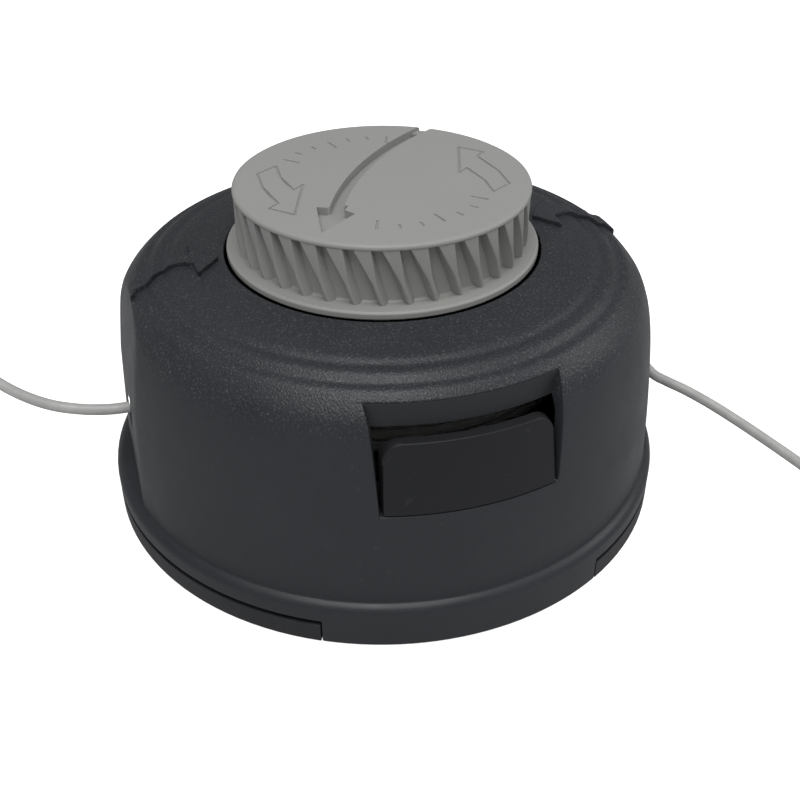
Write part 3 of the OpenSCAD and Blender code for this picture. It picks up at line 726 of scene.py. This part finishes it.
def raised_arrow(mirrored):
    """Arrow that stands 0.9 mm above the shoulder and follows its form."""
    bm = bmesh.new()
    spin = Matrix.Rotation(math.radians(-1.5 if mirrored else 0), 3, "Z")
    flip = -1 if mirrored else 1
    face = bm.faces.new([bm.verts.new(spin @ Vector((flip * x, y, 0))) for x, y in arrow_outline])
    if face.normal.z < 0:
        face.normal_flip()
    for way in ((1, 0, 0), (0, 1, 0)):
        for at in np.arange(-60, 61, 0.8):
            bmesh.ops.bisect_plane(bm, geom=bm.verts[:] + bm.edges[:] + bm.faces[:], dist=1e-5,
                                   plane_co=Vector(way) * float(at), plane_no=way)
    top = bm.faces[:]
    bmesh.ops.recalc_face_normals(bm, faces=bm.faces)
    if top[0].normal.z < 0:
        bmesh.ops.reverse_faces(bm, faces=top)
    below = bmesh.ops.extrude_face_region(bm, geom=top)
    upper = [v for v in below["geom"] if isinstance(v, bmesh.types.BMVert)]
    lifted = set(upper)
    for v in bm.verts:
        r = math.hypot(v.co.x, v.co.y)
        shift = 0.9 if v in lifted else -1.0
        v.co.z = bell_height(min(r - (0.3 if v in lifted else 0), 57)) + shift
    for v in bm.verts:
        v.co /= 1000
    bmesh.ops.recalc_face_normals(bm, faces=bm.faces)
    mesh = bpy.data.meshes.new("raised arrow")
    bm.to_mesh(mesh)
    bm.free()
    return mesh


extras = []
for turn in (-90, 90):
    bar = place_mesh("lintel", lintel(turn), [smooth_cover_plastic])
    round_edges(bar, 0.0002)
    extras.append((bar, 1))
for mirrored in (False, True):
    arrow = place_mesh("raised arrow", raised_arrow(mirrored), [cover_plastic])
    round_edges(arrow, 0.00022, angle=40)
    extras.append((arrow, 0))


def join_into(piece, others):
    """Adds other meshes to a piece, each with one of the piece's material slots."""
    bm = bmesh.new()
    bm.from_mesh(piece.data)
    for other, index in others:
        first = len(bm.faces)
        bm.from_mesh(other.data)
        bm.faces.ensure_lookup_table()
        for face in bm.faces[first:]:
            face.material_index = index
        bpy.data.objects.remove(other)
    bm.to_mesh(piece.data)
    bm.free()


join_into(bell_cover, extras)
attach(bell_cover, "housing")
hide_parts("bell_cover")


# Bump knob
# Light grey nylon cap with leaning grip ribs round its side and a foot ring. A long curved arrow is
# sunk deep into its face, and finer arrows and a scale of ticks are engraved shallow.

knob_plastic = moulded_plastic(
    "knob nylon", depth=0.00002, Colour=(0.3, 0.3, 0.288, 1), Cloud_colour=(0.29, 0.292, 0.285, 1),
    Least_grain=0.5, Grain_per_metre=1800.0, Speck=0.0, Gloss_low=0.45, Gloss_high=0.56, Scuffs=0.05)
knob_r = 30.6
knob_top = 70.1
core_r = 28.5
ring_top = 57.4
rib_top = 68.9
rib_lean = 17.5
rib_count = 36
knob_profile = [(0, 65.9), (26, 65.9), (26, 55.6), (32.35, 55.6), (32.75, 56), (32.75, 57), (32.35, 57.4),
                (28.9, 57.4), (28.5, 57.8), (28.5, 68.3), (28.8, 68.75), (29.4, 68.9), (30.3, 68.9),
                (30.6, 69.1), (30.6, 69.55), (30.45, 69.85), (30.1, 70.05), (29.6, 70.1), (0, 70.1)]


def knob_core():
    """Cap and foot ring as one turned shape, closed on the axis."""
    bm = bmesh.new()
    sides = 180
    rings = []
    for r, z in knob_profile:
        if r == 0:
            rings.append([bm.verts.new((0, 0, z / 1000))])
            continue
        rings.append([bm.verts.new((r * math.cos(a) / 1000, r * math.sin(a) / 1000, z / 1000))
                      for a in np.linspace(0, 2 * math.pi, sides, endpoint=False)])
    for one, two in zip(rings[:-1], rings[1:]):
        if len(one) == 1 or len(two) == 1:
            continue
        for k in range(sides):
            bm.faces.new([one[k], one[(k + 1) % sides], two[(k + 1) % sides], two[k]])
    bm.faces.new(rings[1])
    bm.faces.new(rings[-2])
    for v in (rings[0][0], rings[-1][0]):
        bm.verts.remove(v)
    bmesh.ops.recalc_face_normals(bm, faces=bm.faces)
    mesh = bpy.data.meshes.new("bump_knob_cap")
    bm.to_mesh(mesh)
    bm.free()
    return mesh


def prism(bm, outline, low, high):
    """Upright prism on an outline given in millimetres, counted either way round."""
    area = sum(a[0] * b[1] - b[0] * a[1] for a, b in zip(outline, outline[1:] + outline[:1]))
    ring = outline if area > 0 else outline[::-1]
    below = [bm.verts.new((x / 1000, y / 1000, low / 1000)) for x, y in ring]
    above = [bm.verts.new((x / 1000, y / 1000, high / 1000)) for x, y in ring]
    bm.faces.new(below[::-1])
    bm.faces.new(above)
    for k in range(len(ring)):
        n = (k + 1) % len(ring)
        bm.faces.new([below[k], below[n], above[n], above[k]])


arc_centre = np.array((60.9, -42.1))
arc_r = 79.7
arc_width = 2.7
sunk_depth = 1.8
engraved_depth = 0.35
stroke_half = 0.25
tick_r = 23.5
tick_count = 7
tick_step = 11
tick_start = -19
arrow_head = [(-16, -9.3), (-14, -10.3), (-12.2, -9.5), (-9.9, -10.6), (-11.2, -12.3), (-9.7, -14.5),
              (-17.8, -20.6)]
turn_arrow = [(-23.9, 10), (-19.4, 12.9), (-19.7, 6.8), (-18.5, -0.2), (-16.1, 1.9), (-20.8, -11.5),
              (-25, -7.3), (-22.8, -5.5), (-24.2, 3)]


def sunk_arrow_outline():
    """Outline of the long arrow: its curved shaft runs off the rear edge, its head lies at the front."""
    angles = np.linspace(math.radians(157.5), math.radians(98), 60)
    out_side = [tuple(arc_centre + (arc_r + arc_width / 2) * np.array((math.cos(a), math.sin(a)))) for a in angles]
    in_side = [tuple(arc_centre + (arc_r - arc_width / 2) * np.array((math.cos(a), math.sin(a)))) for a in angles]
    return out_side, in_side


def cut_marks(piece):
    """Cuts the long arrow, the two turn arrows and the scale of ticks into the knob's face."""
    out_side, in_side = sunk_arrow_outline()
    tools = []
    bm = bmesh.new()
    prism(bm, out_side + in_side[::-1], knob_top - sunk_depth, knob_top + 1)
    tools.append(bm)
    bm = bmesh.new()
    prism(bm, arrow_head, knob_top - sunk_depth, knob_top + 1)
    tools.append(bm)
    fine = []
    for turn in (0, 180):
        spin = Matrix.Rotation(math.radians(turn), 2)
        fine.append([tuple(spin @ Vector(p)) for p in turn_arrow])
    for shape in fine:
        for a, b in zip(shape, shape[1:] + shape[:1]):
            bm = bmesh.new()
            a, b = np.array(a, float), np.array(b, float)
            way = (b - a) / np.linalg.norm(b - a)
            side = np.array((-way[1], way[0])) * stroke_half
            end = way * 0.2
            prism(bm, [tuple(a - side - end), tuple(b - side + end), tuple(b + side + end),
                       tuple(a + side - end)], knob_top - engraved_depth, knob_top + 1)
            tools.append(bm)
    for turn in (0, 180):
        for i in range(tick_count):
            spin = Matrix.Rotation(math.radians(turn + i * tick_step + tick_start), 2)
            inner = (4 if i % 3 == 0 else 2) - tick_r
            tick = ((-stroke_half, -tick_r), (stroke_half, -tick_r), (stroke_half, inner), (-stroke_half, inner))
            bm = bmesh.new()
            prism(bm, [tuple(spin @ Vector(p)) for p in tick], knob_top - engraved_depth, knob_top + 1)
            tools.append(bm)
    for bm in tools:
        mesh = bpy.data.meshes.new("engraving tool")
        bmesh.ops.recalc_face_normals(bm, faces=bm.faces)
        bm.to_mesh(mesh)
        bm.free()
        cut_out(piece, place_mesh("engraving tool", mesh, []))


bump_knob = place_mesh("bump_knob_cap", knob_core(), [knob_plastic])
cut_marks(bump_knob)
round_edges(bump_knob, 0.00012, angle=40)


def grip_rib():
    """One leaning rib, wide and flat under the rim and narrow at its foot, drawn at the front."""
    bm = bmesh.new()
    rise = rib_top - ring_top
    lean = rise * math.tan(math.radians(rib_lean))
    rings = []
    for share in (-0.03, 0.0, 0.12, 0.25, 0.4, 0.55, 0.7, 0.85, 1.0, 1.03):
        z = ring_top + share * rise
        middle = lean / 2 - lean * share
        face = 0.35 + 1.3 * max(share - 0.4, 0) / 0.6
        root = 1.35 + 0.4 * max(share, 0)
        out = knob_r - 0.12 - 0.35 * (1 - min(1, max(share, 0) * 5)) ** 2
        points = []
        for x, r in ((middle - root, core_r - 0.5), (middle - face, out), (middle + face, out),
                     (middle + root, core_r - 0.5)):
            y = -math.sqrt(max(r * r - x * x, 0))
            points.append(bm.verts.new((x / 1000, y / 1000, z / 1000)))
        rings.append(points)
    for one, two in zip(rings[:-1], rings[1:]):
        for k in range(4):
            n = (k + 1) % 4
            bm.faces.new([one[k], one[n], two[n], two[k]])
    bm.faces.new(rings[0][::-1])
    bm.faces.new(rings[-1])
    bmesh.ops.recalc_face_normals(bm, faces=bm.faces)
    mesh = bpy.data.meshes.new("grip rib")
    bm.to_mesh(mesh)
    bm.free()
    return mesh


def ring_of(name, pattern, count, material):
    """Geometry Nodes tree that repeats a pattern mesh round the axis, as one plain mesh."""
    tree = bpy.data.node_groups.new(name, "GeometryNodeTree")
    tree.interface.new_socket("Pattern", in_out="INPUT", socket_type="NodeSocketObject")
    tree.interface.new_socket("Count", in_out="INPUT", socket_type="NodeSocketInt")
    tree.interface.new_socket("Geometry", in_out="OUTPUT", socket_type="NodeSocketGeometry")
    start = tree.nodes.new("NodeGroupInput")
    end = tree.nodes.new("NodeGroupOutput")
    points = tree.nodes.new("GeometryNodePoints")
    copies = tree.nodes.new("GeometryNodeInstanceOnPoints")
    info = tree.nodes.new("GeometryNodeObjectInfo")
    index = tree.nodes.new("GeometryNodeInputIndex")
    step = node(tree, "ShaderNodeMath", operation="DIVIDE")
    step.inputs[0].default_value = 2 * math.pi
    angle = node(tree, "ShaderNodeMath", operation="MULTIPLY")
    turn = tree.nodes.new("ShaderNodeCombineXYZ")
    real = tree.nodes.new("GeometryNodeRealizeInstances")
    paint = tree.nodes.new("GeometryNodeSetMaterial")
    paint.inputs["Material"].default_value = material
    link = tree.links.new
    link(start.outputs["Count"], points.inputs["Count"])
    link(start.outputs["Count"], step.inputs[1])
    link(start.outputs["Pattern"], info.inputs["Object"])
    link(points.outputs[0], copies.inputs["Points"])
    link(info.outputs["Geometry"], copies.inputs["Instance"])
    link(index.outputs[0], angle.inputs[0])
    link(step.outputs[0], angle.inputs[1])
    link(angle.outputs[0], turn.inputs["Z"])
    link(turn.outputs[0], copies.inputs["Rotation"])
    link(copies.outputs[0], real.inputs[0])
    link(real.outputs[0], paint.inputs["Geometry"])
    link(paint.outputs[0], end.inputs["Geometry"])
    holder = place_mesh(name, bpy.data.meshes.new(name), [])
    maker = holder.modifiers.new("ring", "NODES")
    maker.node_group = tree
    for item in tree.interface.items_tree:
        if item.in_out == "INPUT" and item.name == "Pattern":
            maker[item.identifier] = pattern
        if item.in_out == "INPUT" and item.name == "Count":
            maker[item.identifier] = count
    bpy.context.view_layer.update()
    settle(holder)
    bpy.data.objects.remove(pattern)
    return holder


rib = place_mesh("grip rib", grip_rib(), [knob_plastic])
round_edges(rib, 0.00022, angle=20)
ribs = ring_of("grip ribs", rib, rib_count, knob_plastic)
join_into(bump_knob, [(ribs, 0)])
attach(bump_knob, "reel")
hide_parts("bump_knob")


# Studio
# White table that runs out of the frame and is clear from below, soft light from above and in front,
# and the camera. Reflections see a darker room, so that black plastic stays black at a glancing angle.

table_size = 3.0
floor_mesh = bpy.data.meshes.new("table")
floor_mesh.from_pydata([(-table_size, -table_size, 0), (table_size, -table_size, 0), (table_size, table_size, 0),
                        (-table_size, table_size, 0)], [], [(0, 1, 2, 3)])
table_white = bpy.data.materials.new("white table")
table_white.use_nodes = True
tree = table_white.node_tree
shader = tree.nodes["Principled BSDF"]
shader.inputs["Roughness"].default_value = 0.9
shader.inputs["Specular IOR Level"].default_value = 0.0
path = node(tree, "ShaderNodeLightPath")
seen = math_node(tree, "MAXIMUM", path.outputs["Is Camera Ray"], path.outputs["Is Transmission Ray"])
tree.links.new(mix_colours(tree, path.outputs["Is Glossy Ray"], (0.8, 0.8, 0.8, 1), (0.42, 0.42, 0.43, 1)),
               shader.inputs["Base Color"])
glow = node(tree, "ShaderNodeEmission")
glow.inputs["Strength"].default_value = 0.7
both = node(tree, "ShaderNodeAddShader")
blend_seen = node(tree, "ShaderNodeMixShader")
tree.links.new(shader.outputs[0], both.inputs[0])
tree.links.new(glow.outputs[0], both.inputs[1])
tree.links.new(seen, blend_seen.inputs[0])
tree.links.new(shader.outputs[0], blend_seen.inputs[1])
tree.links.new(both.outputs[0], blend_seen.inputs[2])
below = node(tree, "ShaderNodeMixShader")
clear = node(tree, "ShaderNodeBsdfTransparent")
tree.links.new(node(tree, "ShaderNodeNewGeometry").outputs["Backfacing"], below.inputs[0])
tree.links.new(blend_seen.outputs[0], below.inputs[1])
tree.links.new(clear.outputs[0], below.inputs[2])
tree.links.new(below.outputs[0], tree.nodes["Material Output"].inputs["Surface"])
floor = place_mesh("table", floor_mesh, [table_white])
floor.location.z = -0.0002
floor.visible_diffuse = False

world = bpy.data.worlds.new("studio")
bpy.context.scene.world = world
world.use_nodes = True
tree = world.node_tree
tree.nodes.clear()
path = node(tree, "ShaderNodeLightPath")
seen = math_node(tree, "MAXIMUM", path.outputs["Is Camera Ray"], path.outputs["Is Transmission Ray"])
sky = node(tree, "ShaderNodeBackground")
sky.inputs["Color"].default_value = (1, 1, 1, 1)
unseen = range_node(tree, path.outputs["Is Glossy Ray"], 0.0, 1.0, 0.5, 0.16)
tree.links.new(math_node(tree, "MAXIMUM", unseen, seen), sky.inputs["Strength"])
end = node(tree, "ShaderNodeOutputWorld")
tree.links.new(sky.outputs[0], end.inputs["Surface"])


def soft_box(name, place, aim, width, height, watts):
    lamp = bpy.data.lights.new(name, "AREA")
    lamp.shape = "RECTANGLE"
    lamp.size = width
    lamp.size_y = height
    lamp.energy = watts
    holder = bpy.data.objects.new(name, lamp)
    bpy.context.scene.collection.objects.link(holder)
    holder.location = place
    holder.rotation_euler = (Vector(aim) - Vector(place)).to_track_quat("-Z", "Y").to_euler()
    return holder


soft_box("overhead soft box", (-0.12, -0.28, 0.85), (0, 0, 0.04), 0.6, 0.5, 4.4)
soft_box("side soft box", (0.7, -0.1, 0.5), (0, 0, 0.04), 0.4, 0.4, 1.2)

camera_data = bpy.data.cameras.new("camera")
camera_data.lens = 47.84
camera_data.sensor_width = 36
camera_data.clip_start = 0.01
camera = bpy.data.objects.new("camera", camera_data)
bpy.context.scene.collection.objects.link(camera)
camera.location = (-0.05735, -0.1959, 0.1573)
camera.rotation_euler = (math.radians(55.09), 0, math.radians(-17.35))
bpy.context.scene.camera = camera
bpy.context.scene.view_settings.view_transform = "Standard"
